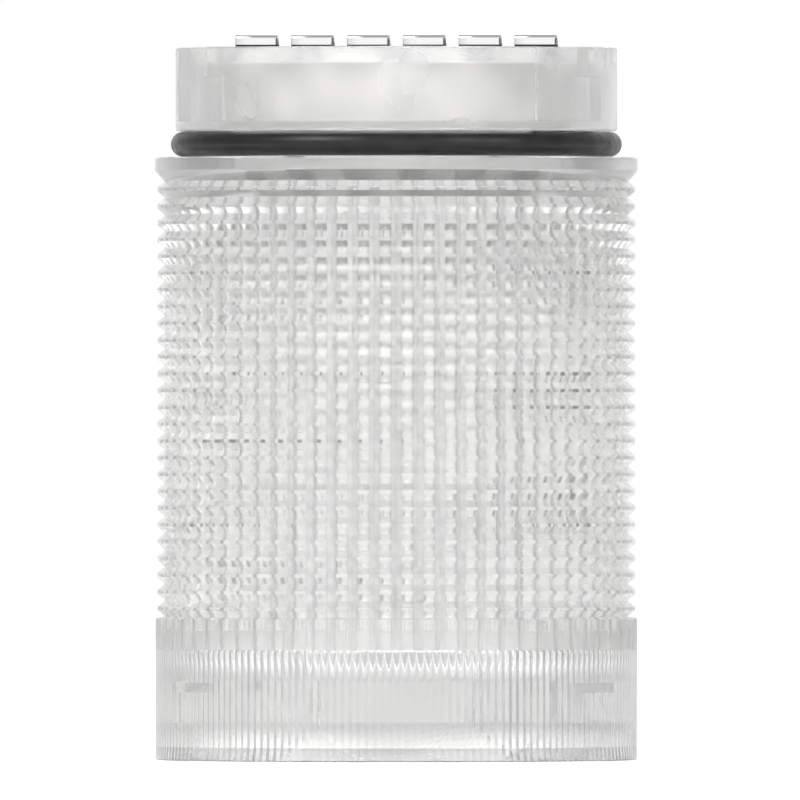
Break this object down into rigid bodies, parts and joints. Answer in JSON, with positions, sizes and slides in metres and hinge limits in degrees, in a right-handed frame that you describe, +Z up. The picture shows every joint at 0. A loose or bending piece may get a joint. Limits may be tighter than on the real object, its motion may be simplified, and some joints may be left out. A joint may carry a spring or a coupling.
{
  "type": "stack light element",
  "caption": "Clear ribbed light element of a stack light, with bayonet collar, sealed bayonet neck and a row of sprung contacts.",
  "frame": {"origin": "centre of the collar's lower rim", "axes": "+Z up the tower towards the contacts, X along the contact row, -Y to the front"},
  "size_m": [0.05, 0.05, 0.0752],
  "materials": {
    "clear_lens": "clear moulded polycarbonate",
    "seal_rubber": "smooth black nitrile rubber",
    "spring_metal": "bright tin-plated spring strip",
    "white_board": "white solder mask on glass-fibre board",
    "white_moulding": "satin white moulding",
    "clear_moulding": "clear moulded polycarbonate",
    "lamp_package": "white reflective package with clear resin",
    "black_package": "matt black moulding compound",
    "ceramic_chip": "fired ceramic"
  },
  "bodies": {
    "root": {"lens_housing": "clear_lens", "o_ring": "seal_rubber", "led_board": "white_board", "contact_carrier": "white_moulding", "socket_plate": "clear_moulding", "bridge_rectifier": "black_package", "current_regulator": "black_package", "surge_suppressor": "black_package", "filter_capacitor": "ceramic_chip", "contact_spring_1": "spring_metal", "contact_pad_1": "spring_metal", "led_front_1": "lamp_package", "led_back_1": "lamp_package", "contact_spring_2": "spring_metal", "contact_pad_2": "spring_metal", "led_front_2": "lamp_package", "led_back_2": "lamp_package", "contact_spring_3": "spring_metal", "contact_pad_3": "spring_metal", "led_front_3": "lamp_package", "led_back_3": "lamp_package", "contact_spring_4": "spring_metal", "contact_pad_4": "spring_metal", "led_front_4": "lamp_package", "led_back_4": "lamp_package", "contact_spring_5": "spring_metal", "contact_pad_5": "spring_metal", "led_front_5": "lamp_package", "led_back_5": "lamp_package", "contact_spring_6": "spring_metal", "contact_pad_6": "spring_metal", "led_front_6": "lamp_package", "led_back_6": "lamp_package", "series_resistor_1": "black_package", "series_resistor_2": "black_package", "series_resistor_3": "black_package", "series_resistor_4": "black_package"}
  },
  "joints": []
}
